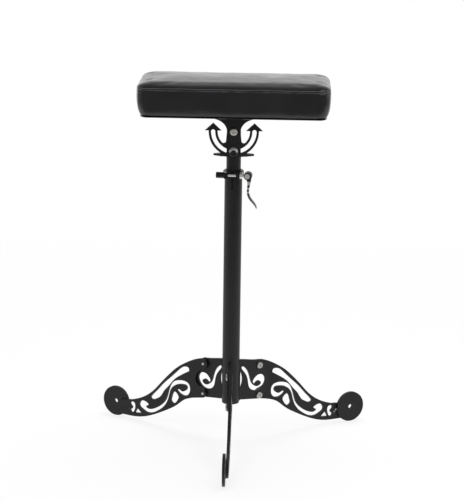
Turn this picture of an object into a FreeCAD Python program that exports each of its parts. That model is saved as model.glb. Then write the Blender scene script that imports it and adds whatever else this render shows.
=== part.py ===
"""Arm rest stand with a tilting pad: a column on three flat ornamental legs, a sliding mast held by a
quick clamp, and a padded rest that tilts on an anchor-shaped plate. Millimetres, +Z up. The origin is
on the floor, in the middle of the footprint; the column's axis is at X 0, Y column_setback."""
import FreeCAD, Part
import math
import os
import re

# Sizes that a maker sets, each written once.
SIZES = {
    # Column: a steel tube, slit at the front of its upper end
    "column_radius": 19.0,
    "column_wall": 2.0,
    "column_bottom": 87.0,
    "column_length": 514.5,
    "slit_width": 3.0,
    "slit_length": 36.0,
    "slit_hole_radius": 2.5,
    "plug_cap": 3.0,
    "plug_depth": 18.0,
    "plug_round": 2.0,
    "bush_length": 50.0,
    "bush_lip": 1.0,
    "slide_gap": 0.06,
    # Legs: plates in upright planes through the column's axis
    "leg_reach": 306.4,
    "leg_thickness": 6.0,
    "foot_radius": 34.0,
    "foot_thickness": 6.0,
    "foot_hole_radius": 5.0,
    "wing_thickness": 5.0,
    "screw_reach": 69.0,
    "screw_low": 92.9,
    "screw_pitch": 68.45,
    "lobe_low_radius": 9.0,
    "lobe_high_radius": 11.4,
    "leg_screw_radius": 3.0,
    "leg_screw_head_radius": 7.5,
    "leg_screw_head": 3.6,
    "leg_screw_round": 2.4,
    "slash_half_width": 2.4,
    "opening_ease": 1.0,
    # Quick clamp round the column's upper end, turned a little to the side
    "clamp_turn": -5.0,
    "collar_radius": 22.4,
    "collar_height": 15.3,
    "collar_lip": 1.1,
    "collar_chamfer": 2.4,
    "collar_gap": 5.0,
    "ear_inner": 8.8,
    "ear_thickness": 8.2,
    "ear_half_height": 6.6,
    "rod_radius": 3.0,
    "rod_offset": 27.0,
    "clamp_nut_radius": 6.5,
    "clamp_nut_length": 17.2,
    "clamp_nut_round": 1.0,
    "clamp_washer_radius": 7.5,
    "clamp_washer_length": 5.6,
    "barrel_radius": 5.6,
    "barrel_proud": 0.8,
    "cam_radius": 8.8,
    "cam_throw": 1.3,
    "cam_throw_angle": 22.0,
    "cam_width": 15.0,
    "cam_gap": 0.4,
    "lever_length": 72.0,
    "lever_width": 8.0,
    "pin_gap": 0.06,
    # Mast: a tube that slides and turns in the column
    "mast_radius": 15.6,
    "mast_wall": 2.0,
    "mast_length": 364.0,
    "mast_drawn_out": 32.5,
    "guide_length": 40.0,
    "guide_floor": 4.0,
    "guide_vent_radius": 5.0,
    "running_gap": 0.3,
    "crown_half_length": 43.4,
    "crown_half_depth": 16.5,
    "crown_thickness": 4.3,
    "pivot_ear_half_width": 15.0,
    "pivot_ear_thickness": 5.0,
    # Tilt joint: pivot bolt and lock bolt through the mast's ear
    "pivot_rise": 50.7,
    "slot_radius": 43.8,
    "bolt_radius": 5.0,
    "lock_bolt_radius": 4.0,
    "bolt_gap": 0.06,
    "pivot_head_radius": 8.4,
    "pivot_head": 5.0,
    "pivot_head_round": 3.6,
    "lock_head_radius": 9.4,
    "lock_head": 5.5,
    "lock_head_round": 2.5,
    "lock_washer_radius": 10.0,
    "washer_thickness": 1.6,
    "pivot_nut_flat_radius": 8.0,
    "lock_nut_flat_radius": 6.5,
    "nut_height": 8.0,
    "bolt_end": 3.0,
    "socket_flat_radius": 4.0,
    "socket_depth": 3.2,
    # Anchor plate: turns with the pad in front of the ear
    "anchor_thickness": 5.0,
    "slot_half_width": 4.4,
    "rib_width": 5.1,
    "shank_half_width": 14.5,
    "notch_radius": 5.0,
    "notch_depth": 20.0,
    "foot_half_width": 28.5,
    "arrow_half_width": 17.6,
    "arrow_base": 2.0,
    "arrow_height": 16.3,
    "flare_half_width": 50.0,
    "flare_rise": 27.5,
    "bar_height": 7.5,
    "bar_half_width": 70.0,
    # Pad: steel plate, plywood board, foam and sewn cover
    "pad_plate_length": 150.0,
    "pad_plate_depth": 120.0,
    "pad_plate_thickness": 3.0,
    "pad_plate_corner": 8.0,
    "pad_screw_x": 60.0,
    "pad_screw_y": 45.0,
    "pad_screw_radius": 3.0,
    "pad_screw_head_radius": 5.5,
    "pad_screw_head": 3.0,
    "tee_flange_radius": 9.0,
    "tee_flange": 1.5,
    "tee_barrel_radius": 4.0,
    "tee_barrel": 9.0,
    "board_thickness": 12.0,
    "board_inset": 17.0,
    "pad_length": 408.0,
    "pad_depth": 200.0,
    "pad_height": 77.0,
    "pad_corner": 28.0,
    "overrun": 2.0,
}

# Sizes that follow from those above.
DERIVED = {
    "column_setback": "(leg_reach + foot_radius - 2 * foot_thickness * cos(30deg)) / 4",
    "column_top": "column_bottom + column_length",
    "column_bore": "column_radius - column_wall",
    "screw_high": "screw_low + screw_pitch",
    "collar_top": "column_top + bush_lip + collar_lip",
    "collar_bottom": "collar_top - collar_height",
    "rod_level": "(collar_top + collar_bottom) / 2",
    "ear_outer": "ear_inner + ear_thickness",
    "washer_end": "ear_outer + clamp_washer_length",
    "cam_reach": "cam_radius + cam_throw",
    "barrel_place": "washer_end + cam_gap + cam_reach",
    "mast_top": "column_top + mast_drawn_out",
    "mast_bottom": "mast_top - mast_length",
    "crown_top": "mast_top + crown_thickness",
    "pivot_level": "crown_top + pivot_rise",
    "lock_level": "pivot_level - slot_radius",
    "ear_front": "-crown_half_depth",
    "ear_back": "ear_front + pivot_ear_thickness",
    "anchor_back": "ear_front - running_gap",
    "anchor_front": "anchor_back - anchor_thickness",
    "bar_top": "flare_rise + bar_height",
    "pad_plate_bottom": "pivot_level + bar_top",
    "pad_bottom": "pad_plate_bottom + pad_plate_thickness",
    "board_top": "pad_bottom + board_thickness",
    "slot_inner": "slot_radius - slot_half_width",
    "slot_outer": "slot_radius + slot_half_width",
    "anchor_inner": "slot_inner - rib_width",
    "anchor_outer": "slot_outer + rib_width",
}

# Leg outline as shares: outwards from the screws to the foot's centre, and up from the foot's centre
# to the upper screw.
LEG_TOP_SHARES = [(0.029, 1.087), (0.114, 1.037), (0.198, 0.958), (0.282, 0.856), (0.366, 0.715),
                  (0.455, 0.542), (0.539, 0.369), (0.628, 0.236), (0.716, 0.149), (0.821, 0.086)]
LEG_END_SHARES = [(0.821, 0.086), (0.893, 0.071), (0.939, 0.016), (0.952, -0.063), (0.935, -0.149),
                  (0.901, -0.204)]
LEG_BOTTOM_SHARES = [(0.901, -0.204), (0.805, -0.204), (0.703, -0.188), (0.607, -0.141), (0.497, -0.055),
                     (0.388, 0.047), (0.299, 0.149), (0.227, 0.259), (0.152, 0.330), (0.067, 0.369),
                     (-0.008, 0.393)]
LEG_BITE_SHARES = [(-0.008, 0.393), (-0.027, 0.518), (-0.004, 0.558), (0.038, 0.589), (0.072, 0.652),
                   (0.080, 0.730), (0.067, 0.809), (0.034, 0.868), (-0.008, 0.899), (-0.034, 0.938),
                   (0.029, 1.087)]
LONG_SLOT_SHARES = [(0.160, 0.824), (0.240, 0.738), (0.324, 0.620), (0.388, 0.479), (0.430, 0.393),
                    (0.476, 0.267), (0.531, 0.204), (0.564, 0.185), (0.581, 0.200), (0.573, 0.228),
                    (0.518, 0.338), (0.455, 0.471), (0.366, 0.628), (0.282, 0.777), (0.185, 0.887),
                    (0.160, 0.873)]
SCROLL_SHARES = [(0.282, 0.432), (0.240, 0.377), (0.194, 0.369), (0.156, 0.416), (0.143, 0.510),
                 (0.160, 0.589), (0.198, 0.620), (0.249, 0.620), (0.307, 0.589), (0.345, 0.534),
                 (0.371, 0.440), (0.388, 0.338), (0.413, 0.204), (0.451, 0.118), (0.514, 0.031),
                 (0.581, -0.016), (0.622, -0.006), (0.638, 0.030), (0.612, 0.058), (0.650, 0.112),
                 (0.696, 0.088), (0.710, 0.016), (0.674, -0.039), (0.636, -0.071), (0.581, -0.071),
                 (0.510, -0.008), (0.451, 0.071), (0.409, 0.165), (0.379, 0.306), (0.362, 0.416),
                 (0.333, 0.495), (0.282, 0.550), (0.227, 0.565), (0.185, 0.550), (0.173, 0.510),
                 (0.190, 0.448), (0.236, 0.430), (0.268, 0.452)]
DROP_SHARES = [(0.270, 0.306), (0.291, 0.236), (0.329, 0.188), (0.350, 0.220), (0.345, 0.275),
               (0.335, 0.342), (0.312, 0.393)]
TRIANGLE_SHARES = [(0.734, -0.034), (0.684, -0.122), (0.765, -0.138)]
COMMA_SHARES = [(0.813, 0.024), (0.792, 0.055), (0.771, 0.043), (0.762, 0.000), (0.765, -0.050),
                (0.775, -0.102), (0.790, -0.130), (0.807, -0.131), (0.813, -0.106), (0.792, -0.060),
                (0.800, -0.024)]
SLASH_SHARES = [(0.864, -0.031), (0.838, -0.086)]

# Hub wing as shares: outwards from the column's wall to the screws, and up from the lower screw to
# the upper one.
WING_TOP_SHARES = [(0.000, 1.275), (0.360, 1.243), (0.700, 1.204), (1.000, 1.188)]
WING_EDGE_SHARES = [(1.000, 1.188), (1.220, 1.104), (1.360, 0.922), (1.470, 0.703), (1.500, 0.498),
                    (1.440, 0.279), (1.300, 0.096), (1.150, -0.075), (1.000, -0.121)]
WING_BOTTOM_SHARES = [(1.000, -0.121), (0.820, -0.110), (0.420, -0.086), (0.000, -0.063)]
SWIRL_SHARES = [(0.160, 1.031), (0.290, 0.973), (0.440, 0.827), (0.540, 0.622), (0.594, 0.484),
                (0.700, 0.367), (0.850, 0.308), (1.000, 0.330), (1.084, 0.408), (1.040, 0.466),
                (0.940, 0.481), (0.840, 0.437), (0.760, 0.396), (0.680, 0.462), (0.740, 0.571),
                (0.880, 0.666), (1.070, 0.695), (1.246, 0.615), (1.300, 0.484), (1.240, 0.345),
                (1.060, 0.213), (0.860, 0.167), (0.660, 0.199), (0.500, 0.308), (0.430, 0.513),
                (0.340, 0.732), (0.200, 0.878), (0.114, 0.966), (0.108, 1.017)]
CRESCENT_SHARES = [(0.040, 0.907), (0.110, 0.805), (0.160, 0.673), (0.168, 0.586), (0.148, 0.469),
                   (0.070, 0.330)]

# Lever blade as shares of its length, from the cam's pin: the side towards the column, then the other.
LEVER_NEAR_SHARES = [(-0.060, -0.060), (0.004, -0.240), (-0.006, -0.400), (-0.008, -0.480),
                     (0.047, -0.670), (0.155, -0.800), (0.275, -0.975)]
LEVER_FAR_SHARES = [(0.293, -0.960), (0.196, -0.765), (0.103, -0.645), (0.053, -0.465), (0.058, -0.395),
                    (0.088, -0.245), (0.115, -0.060)]

# Cushion sections: share of the height, and how far the side is drawn in as a share of the height.
CUSHION_SHARES = [(0.000, 0.140), (0.060, 0.105), (0.140, 0.070), (0.280, 0.025), (0.420, 0.004),
                  (0.540, 0.000), (0.660, 0.006), (0.760, 0.022), (0.840, 0.050), (0.900, 0.090),
                  (0.935, 0.150), (0.960, 0.260), (0.978, 0.450), (0.991, 0.700), (1.000, 1.000)]

LEGS = {"front": -90.0, "right": 30.0, "left": 150.0}

doc = FreeCAD.newDocument("arm_rest_stand")
sheet = doc.addObject("Spreadsheet::Sheet", "Sizes")
for row, (name, number) in enumerate(list(SIZES.items()) + list(DERIVED.items()), start=1):
    sheet.set("A%d" % row, name)
    sheet.set("B%d" % row, "=" + number if isinstance(number, str) else repr(number))
    sheet.setAlias("B%d" % row, name)
doc.recompute()

NODES = []


def bound(text):
    """An expression of named sizes, with each name pointed at its cell."""
    return re.sub(r"[a-z]\w*", lambda word: "Sizes." + word[0] if word[0] in SIZES or word[0] in DERIVED
                  else word[0], text)


def size(name):
    """The number in a named cell."""
    return float(sheet.get(name))


def place(thing, x="0", y="0", z="0", turn=(0, 0, 1), angle=0.0):
    """Turns an object about one axis and binds its place to expressions."""
    thing.Placement = FreeCAD.Placement(FreeCAD.Vector(), FreeCAD.Rotation(FreeCAD.Vector(*turn), angle))
    for axis, text in zip("xyz", (x, y, z)):
        thing.setExpression("Placement.Base." + axis, bound(text))
    return thing


UP = dict()
ALONG_X = dict(turn=(0, 1, 0), angle=90.0)
ALONG_Y = dict(turn=(1, 0, 0), angle=-90.0)


def rod(name, radius, length, x="0", y="0", z="0", along=UP):
    """A cylinder that starts at the given place and runs along one axis."""
    solid = doc.addObject("Part::Cylinder", name)
    solid.setExpression("Radius", bound(radius))
    solid.setExpression("Height", bound(length))
    return place(solid, x, y, z, **along)


def hexagon(name, flat_radius, length, x="0", y="0", z="0", along=UP):
    """A six-sided bar, sized across its flats."""
    solid = doc.addObject("Part::Prism", name)
    solid.Polygon = 6
    solid.setExpression("Circumradius", bound("(%s) / cos(30deg)" % flat_radius))
    solid.setExpression("Height", bound(length))
    return place(solid, x, y, z, **along)


def block(name, length, width, height, x="0", y="0", z="0"):
    """A box that starts at the given corner."""
    solid = doc.addObject("Part::Box", name)
    for side, text in (("Length", length), ("Width", width), ("Height", height)):
        solid.setExpression(side, bound(text))
    return place(solid, x, y, z)


def joined(name, *parts):
    """Several solids made one."""
    whole = doc.addObject("Part::MultiFuse", name)
    whole.Shapes = list(parts)
    whole.Refine = True
    return whole


def cut(name, base, *tools):
    """One solid less one or more others."""
    result = doc.addObject("Part::Cut", name)
    result.Base = base
    result.Tool = tools[0] if len(tools) == 1 else joined(name + "_cuts", *tools)
    return result


def grouped(name, *parts):
    """Separate solids kept together, or one solid in a frame of its own."""
    group = doc.addObject("Part::Compound", name)
    group.Links = list(parts)
    return group


def rounded(name, base, radius, at_end=True):
    """Rounds the rim at a cylinder's far end, or at its start."""
    doc.recompute()
    wanted = size_of(base.Height) if at_end else 0.0
    local = base.Shape.copy()
    local.Placement = FreeCAD.Placement()
    rims = [i for i, edge in enumerate(local.Edges, start=1)
            if isinstance(edge.Curve, Part.Circle) and abs(edge.Curve.Center.z - wanted) < 1e-6]
    result = doc.addObject("Part::Fillet", name)
    result.Base = base
    result.Edges = [(i, size(radius), size(radius)) for i in rims]
    return result


def size_of(quantity):
    """The plain number of a length."""
    return float(getattr(quantity, "Value", quantity))


def node(result, label, frame="column"):
    """Names a finished piece and puts it where its group stands."""
    result.Label = label
    if frame == "column":
        result.setExpression("Placement.Base.y", bound("column_setback"))
    elif frame == "clamp":
        place(result, y="column_setback", angle=size("clamp_turn"))
    elif frame is not None:
        place(result, y="column_setback", angle=frame)
    NODES.append(result)
    return result


def smooth(points, closed=False):
    """A smooth curve through points, as sketch geometry."""
    curve = Part.BSplineCurve()
    vectors = [FreeCAD.Vector(x, y, 0) for x, y in points]
    curve.interpolate(vectors, PeriodicFlag=closed)
    return curve


def straight(points):
    """Straight edges through points, as sketch geometry."""
    vectors = [FreeCAD.Vector(x, y, 0) for x, y in points]
    return [Part.LineSegment(a, b) for a, b in zip(vectors, vectors[1:])]


def arc(centre, radius, first, last):
    """An arc counterclockwise from one angle to another, in degrees."""
    circle = Part.Circle(FreeCAD.Vector(centre[0], centre[1], 0), FreeCAD.Vector(0, 0, 1), radius)
    return Part.ArcOfCircle(circle, math.radians(first), math.radians(last))


def ring(centre, radius):
    """A full circle, as sketch geometry."""
    return Part.Circle(FreeCAD.Vector(centre[0], centre[1], 0), FreeCAD.Vector(0, 0, 1), radius)


def sketch(body, name, role, curves, offset=None):
    """A sketch on one of the body's own planes."""
    drawing = body.newObject("Sketcher::SketchObject", name)
    plane = [feature for feature in body.Origin.OriginFeatures if feature.Role == role][0]
    drawing.AttachmentSupport = (plane, [""])
    drawing.MapMode = "FlatFace"
    if offset is not None:
        drawing.setExpression("AttachmentOffset.Base.z", bound(offset))
    drawing.addGeometry(curves, False)
    return drawing


def plate(name, role, outline, thickness, bosses=(), cuts=(), reverse=False, offset=None):
    """A flat piece: an outline padded to a thickness, with bosses added and openings cut through."""
    body = doc.addObject("PartDesign::Body", name)
    for index, curves in enumerate([outline] + list(bosses)):
        pad = body.newObject("PartDesign::Pad", "%s_pad_%d" % (name, index))
        pad.Profile = sketch(body, "%s_outline_%d" % (name, index), role, curves, offset)
        pad.setExpression("Length", bound(thickness))
        pad.Reversed = reverse
        doc.recompute()
    if cuts:
        pocket = body.newObject("PartDesign::Pocket", name + "_openings")
        pocket.Profile = sketch(body, name + "_opening_lines", role, list(cuts), offset)
        pocket.Type = "ThroughAll"
        pocket.Midplane = True
        doc.recompute()
    return body


# Column tube: slit down its front so that the clamp can close it on the bush
column_length = "column_top - column_bottom"
node(cut("column_tube",
         rod("column_blank", "column_radius", column_length, z="column_bottom"),
         rod("column_bore_cut", "column_bore", column_length + " + 2 * overrun",
             z="column_bottom - overrun"),
         block("column_slit", "slit_width", "column_radius + overrun", "slit_length + overrun",
               x="-slit_width / 2", y="-column_radius - overrun", z="column_top - slit_length"),
         rod("column_slit_end", "slit_hole_radius", "column_radius + overrun",
             y="-column_radius - overrun", z="column_top - slit_length", along=ALONG_Y)),
     "column_tube", "clamp")

# Split bush in the column's upper end, with a lip on the tube's rim
node(cut("column_bush",
         joined("column_bush_blank",
                rod("column_bush_sleeve", "column_bore", "bush_length", z="column_top - bush_length"),
                rod("column_bush_lip", "column_radius", "bush_lip", z="column_top")),
         rod("column_bush_bore", "mast_radius + slide_gap", "bush_length + bush_lip + 2 * overrun",
             z="column_top - bush_length - overrun"),
         block("column_bush_slit", "slit_width", "column_radius + overrun",
               "bush_length + bush_lip + 2 * overrun", x="-slit_width / 2",
               y="-column_radius - overrun", z="column_top - bush_length - overrun")),
     "column_bush", "clamp")

# Plug in the column's lower end
node(joined("column_plug",
            rounded("column_plug_cap_round",
                    rod("column_plug_cap", "column_radius", "plug_cap", z="column_bottom - plug_cap"),
                    "plug_round", at_end=False),
            rod("column_plug_stem", "column_bore", "plug_depth", z="column_bottom")),
     "column_plug")


def leg_points(shares):
    """Places on a leg's plane, from shares of its reach and rise."""
    reach = size("leg_reach") - size("screw_reach")
    rise = size("screw_high") - size("foot_radius")
    return [(size("screw_reach") + a * reach, size("foot_radius") + b * rise) for a, b in shares]


def wing_points(shares):
    """Places on a hub wing's plane, from shares of its reach and of the screws' pitch."""
    reach = size("screw_reach") - size("column_radius")
    return [(size("column_radius") + a * reach, size("screw_low") + b * size("screw_pitch"))
            for a, b in shares]


def slash(shares, half_width):
    """A short round-ended slot between two places."""
    (x1, z1), (x2, z2) = leg_points(shares)
    tilt = math.degrees(math.atan2(z1 - z2, x1 - x2))
    side_x = -math.sin(math.radians(tilt)) * half_width
    side_z = math.cos(math.radians(tilt)) * half_width
    return [arc((x1, z1), half_width, tilt - 90, tilt + 90),
            arc((x2, z2), half_width, tilt + 90, tilt + 270)] + \
        straight([(x1 + side_x, z1 + side_z), (x2 + side_x, z2 + side_z)]) + \
        straight([(x1 - side_x, z1 - side_z), (x2 - side_x, z2 - side_z)])


def opened(points):
    """A closed smooth opening, eased outwards all round from the places given."""
    turns = [x1 * z2 - x2 * z1 for (x1, z1), (x2, z2) in zip(points, points[1:] + points[:1])]
    ease = math.copysign(size("opening_ease"), sum(turns))
    eased = []
    for before, here, after in zip(points[-1:] + points[:-1], points, points[1:] + points[:1]):
        along_x, along_z = after[0] - before[0], after[1] - before[1]
        share = ease / math.hypot(along_x, along_z)
        eased.append((here[0] + along_z * share, here[1] - along_x * share))
    return smooth(eased, closed=True)


def corners(points):
    """A closed outline with sharp corners."""
    return straight(points + points[:1])


screws = [(size("screw_reach"), size("screw_low")), (size("screw_reach"), size("screw_high"))]
screw_holes = [ring(spot, size("leg_screw_radius")) for spot in screws]
slash_slot = slash(SLASH_SHARES, size("slash_half_width"))

# Hub wing: welded edge-on to the column, on the clockwise side of its leg
wing_outline = [smooth(wing_points(WING_TOP_SHARES)), smooth(wing_points(WING_EDGE_SHARES)),
                smooth(wing_points(WING_BOTTOM_SHARES))]
wing_outline += straight([wing_points(WING_BOTTOM_SHARES)[-1], wing_points(WING_TOP_SHARES)[0]])
wing = plate("hub_wing", "XZ_Plane", wing_outline, "wing_thickness",
             cuts=[smooth(wing_points(SWIRL_SHARES), closed=True),
                   smooth(wing_points(CRESCENT_SHARES), closed=True)] + screw_holes)

# Leg: two lobes round the screws, scrolls cut through, its tail lapped on the foot disc
leg_outline = [smooth(leg_points(LEG_TOP_SHARES)), smooth(leg_points(LEG_END_SHARES)),
               smooth(leg_points(LEG_BOTTOM_SHARES)), smooth(leg_points(LEG_BITE_SHARES))]
leg_openings = [opened(leg_points(shares))
                for shares in (LONG_SLOT_SHARES, SCROLL_SHARES, DROP_SHARES, COMMA_SHARES)]
leg_openings += corners(leg_points(TRIANGLE_SHARES)) + slash_slot + screw_holes
leg = plate("leg_plate", "XZ_Plane", leg_outline, "leg_thickness",
            bosses=[[ring(screws[0], size("lobe_low_radius"))], [ring(screws[1], size("lobe_high_radius"))]],
            cuts=leg_openings, reverse=True)

# Foot disc: stands on its rim, with a hole for a castor or a floor fixing
foot_centre = (size("leg_reach"), size("foot_radius"))
disc = plate("foot_disc", "XZ_Plane", [ring(foot_centre, size("foot_radius"))], "foot_thickness",
             cuts=[ring(foot_centre, size("foot_hole_radius"))] + slash_slot)


def leg_screw(tag, height):
    """A screw through the wing into the leg, its socket head on the wing."""
    head = rounded(tag + "_head_round",
                   rod(tag + "_head", "leg_screw_head_radius", "leg_screw_head", x="screw_reach",
                       y="-wing_thickness", z=height, along=dict(turn=(1, 0, 0), angle=90.0)),
                   "leg_screw_round")
    shank = rod(tag + "_shank", "leg_screw_radius", "wing_thickness + leg_thickness",
                x="screw_reach", y="-wing_thickness", z=height, along=ALONG_Y)
    socket = hexagon(tag + "_socket", "leg_screw_radius * 2 / 3", "leg_screw_head / 2 + overrun",
                     x="screw_reach", y="-wing_thickness - leg_screw_head - overrun", z=height,
                     along=ALONG_Y)
    return cut(tag, joined(tag + "_blank", head, shank), socket)


screw_pair = [leg_screw("leg_screw_low", "screw_low"), leg_screw("leg_screw_high", "screw_high")]

# Three legs, each of these pieces turned to its place round the column
for side, angle in LEGS.items():
    node(grouped("hub_wing_" + side, wing), "hub_wing_" + side, angle)
    node(grouped("leg_plate_" + side, leg), "leg_plate_" + side, angle)
    node(grouped("foot_disc_" + side, disc), "foot_disc_" + side, angle)
    node(grouped("leg_screws_" + side, *screw_pair), "leg_screws_" + side, angle)

# Clamp collar: a ring with a gap in front and an ear each side of it
collar_blank = joined(
    "collar_blank",
    rod("collar_ring", "collar_radius", "collar_height - collar_chamfer", z="collar_bottom"),
    block("collar_ears", "2 * ear_outer", "rod_offset - column_radius + ear_half_height",
          "2 * ear_half_height", x="-ear_outer", y="-rod_offset - ear_half_height",
          z="rod_level - ear_half_height"))
collar_cone = doc.addObject("Part::Cone", "collar_cone")
collar_cone.setExpression("Radius1", bound("collar_radius"))
collar_cone.setExpression("Radius2", bound("collar_radius - collar_chamfer"))
collar_cone.setExpression("Height", bound("collar_chamfer"))
place(collar_cone, z="collar_top - collar_chamfer")
node(cut("clamp_collar",
         joined("collar_whole", collar_blank, collar_cone),
         rod("collar_bore", "column_radius", "column_top + bush_lip - collar_bottom + overrun",
             z="collar_bottom - overrun"),
         rod("collar_mouth", "(mast_radius + column_radius) / 2", "collar_lip + 2 * overrun",
             z="collar_top - collar_lip - overrun"),
         block("collar_split", "collar_gap", "collar_radius + overrun", "collar_height + 2 * overrun",
               x="-collar_gap / 2", y="-collar_radius - overrun", z="collar_bottom - overrun"),
         block("collar_window", "2 * ear_inner", "rod_offset - collar_radius + ear_half_height + overrun",
               "2 * ear_half_height + 2 * overrun", x="-ear_inner",
               y="-rod_offset - ear_half_height - overrun", z="rod_level - ear_half_height - overrun"),
         rod("collar_rod_hole", "rod_radius", "2 * ear_outer + 2 * overrun", x="-ear_outer - overrun",
             y="-rod_offset", z="rod_level", along=ALONG_X)),
     "clamp_collar", "clamp")

# Clamp rod with its nut on one side, washer and cross barrel on the other
node(grouped("clamp_rod",
             rod("clamp_rod_bar", "rod_radius",
                 "ear_outer + clamp_nut_length / 2 + barrel_place - barrel_radius / 2",
                 x="-ear_outer - clamp_nut_length / 2", y="-rod_offset", z="rod_level", along=ALONG_X)),
     "clamp_rod", "clamp")
node(cut("clamp_nut",
         rounded("clamp_nut_round_end",
                 rod("clamp_nut_blank", "clamp_nut_radius", "clamp_nut_length", x="-ear_outer",
                     y="-rod_offset", z="rod_level", along=dict(turn=(0, 1, 0), angle=-90.0)),
                 "clamp_nut_round"),
         rod("clamp_nut_bore", "rod_radius", "clamp_nut_length / 2 + overrun",
             x="-ear_outer - clamp_nut_length / 2", y="-rod_offset", z="rod_level", along=ALONG_X)),
     "clamp_nut", "clamp")
node(cut("clamp_washer",
         rod("clamp_washer_blank", "clamp_washer_radius", "clamp_washer_length", x="ear_outer",
             y="-rod_offset", z="rod_level", along=ALONG_X),
         rod("clamp_washer_bore", "rod_radius", "clamp_washer_length + 2 * overrun",
             x="ear_outer - overrun", y="-rod_offset", z="rod_level", along=ALONG_X)),
     "clamp_washer", "clamp")
barrel_length = "cam_width + 2 * barrel_proud"
node(cut("cam_barrel",
         rod("cam_barrel_blank", "barrel_radius", barrel_length, x="barrel_place",
             y="-rod_offset - cam_width / 2 - barrel_proud", z="rod_level", along=ALONG_Y),
         rod("cam_barrel_bore", "rod_radius", "barrel_radius / 2 + overrun",
             x="barrel_place - barrel_radius - overrun", y="-rod_offset", z="rod_level", along=ALONG_X)),
     "cam_barrel", "clamp")

# Cam lever: an off-centre cam on the barrel, slotted for the rod, with a curved blade
length = size("lever_length")
pin_x, pin_z = size("barrel_place"), size("rod_level")
near_side = [(pin_x + a * length, pin_z + b * length) for a, b in LEVER_NEAR_SHARES]
far_side = [(pin_x + a * length, pin_z + b * length) for a, b in LEVER_FAR_SHARES]
blade_outline = [smooth(near_side), smooth(far_side)]
blade_outline += straight([near_side[-1], far_side[0]]) + straight([far_side[-1], near_side[0]])
blade = plate("lever_blade", "XZ_Plane", blade_outline, "lever_width", offset="rod_offset - lever_width / 2")
cam = rod("cam_disc", "cam_radius", "cam_width", x="barrel_place + cam_throw * cos(cam_throw_angle * 1deg)",
          y="-rod_offset - cam_width / 2", z="rod_level + cam_throw * sin(cam_throw_angle * 1deg)",
          along=ALONG_Y)
node(cut("cam_lever",
         joined("cam_lever_blank", blade, cam),
         rod("cam_pin_hole", "barrel_radius + pin_gap", "cam_width + 2 * overrun", x="barrel_place",
             y="-rod_offset - cam_width / 2 - overrun", z="rod_level", along=ALONG_Y),
         block("cam_rod_slot", "2 * cam_reach + 2 * overrun", "2 * rod_radius + 2 * running_gap",
               "cam_reach + rod_radius + running_gap + overrun", x="barrel_place - cam_reach - overrun",
               y="-rod_offset - rod_radius - running_gap", z="rod_level - rod_radius - running_gap")),
     "cam_lever", "clamp")

# Mast tube, and the guide bush that it stands and turns in
node(cut("mast_tube",
         rod("mast_blank", "mast_radius", "mast_length", z="mast_bottom"),
         rod("mast_bore", "mast_radius - mast_wall", "mast_length + 2 * overrun",
             z="mast_bottom - overrun")),
     "mast_tube")
guide_bottom = "mast_bottom - running_gap - guide_floor"
node(cut("guide_bush",
         rod("guide_blank", "column_bore - slide_gap", "guide_length", z=guide_bottom),
         rod("guide_bore", "mast_radius + slide_gap", "guide_length", z="mast_bottom - running_gap"),
         rod("guide_vent", "guide_vent_radius", "guide_length", z=guide_bottom + " - overrun")),
     "guide_bush")

# Crown plate on the mast: a pointed oval seen from above
half_length, half_depth = size("crown_half_length"), size("crown_half_depth")
bow = (half_length ** 2 + half_depth ** 2) / (2 * half_depth)
spread = math.degrees(math.asin(half_length / bow))
node(plate("crown_plate", "XY_Plane",
           [arc((0, half_depth - bow), bow, 90 - spread, 90 + spread),
            arc((0, bow - half_depth), bow, 270 - spread, 270 + spread)],
           "crown_thickness", offset="mast_top"),
     "crown_plate")

# Ear on the crown plate, round at the top, with the pivot and lock bolts' holes
ear_width = size("pivot_ear_half_width")
pivot, lock, crown = size("pivot_level"), size("lock_level"), size("crown_top")
node(plate("pivot_ear", "XZ_Plane",
           straight([(-ear_width, pivot), (-ear_width, crown), (ear_width, crown), (ear_width, pivot)])
           + [arc((0, pivot), ear_width, 0, 180)],
           "pivot_ear_thickness", offset="-ear_back",
           cuts=[ring((0, pivot), size("bolt_radius")), ring((0, lock), size("lock_bolt_radius"))]),
     "pivot_ear")


def bolt(tag, level, radius, head_radius, head, head_round, under_head, grip):
    """A round-headed bolt from the front through the anchor plate and the ear."""
    start = "anchor_front - running_gap - %s" % under_head
    head_solid = rounded(tag + "_head_round",
                         rod(tag + "_head", head_radius, head, y=start, z=level,
                             along=dict(turn=(1, 0, 0), angle=90.0)),
                         head_round)
    shank = rod(tag + "_shank", radius, "ear_back + %s + nut_height + bolt_end - (%s)" % (grip, start),
                y=start, z=level, along=ALONG_Y)
    socket = hexagon(tag + "_socket", "socket_flat_radius", "socket_depth + overrun",
                     y="%s - %s - overrun" % (start, head), z=level, along=ALONG_Y)
    node(cut(tag + "_bolt", joined(tag + "_blank", head_solid, shank), socket), tag + "_bolt")


def nut(tag, level, radius, flat_radius, start):
    """A hexagon nut behind the ear."""
    node(cut(tag + "_nut",
             hexagon(tag + "_nut_blank", flat_radius, "nut_height", y=start, z=level, along=ALONG_Y),
             rod(tag + "_nut_bore", radius, "nut_height + 2 * overrun", y=start + " - overrun", z=level,
                 along=ALONG_Y)),
         tag + "_nut")


def washer(tag, level, radius, outer_radius, start):
    """A flat ring on a bolt."""
    node(cut(tag + "_washer",
             rod(tag + "_washer_disc", outer_radius, "washer_thickness", y=start, z=level, along=ALONG_Y),
             rod(tag + "_washer_bore", radius, "washer_thickness + 2 * overrun", y=start + " - overrun",
                 z=level, along=ALONG_Y)),
         tag + "_washer")


# Pivot bolt: a washer and a nut behind the ear
bolt("pivot", "pivot_level", "bolt_radius", "pivot_head_radius", "pivot_head", "pivot_head_round", "0",
     "washer_thickness")
washer("pivot", "pivot_level", "bolt_radius", "lock_washer_radius", "ear_back")
nut("pivot", "pivot_level", "bolt_radius", "pivot_nut_flat_radius", "ear_back + washer_thickness")

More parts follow.
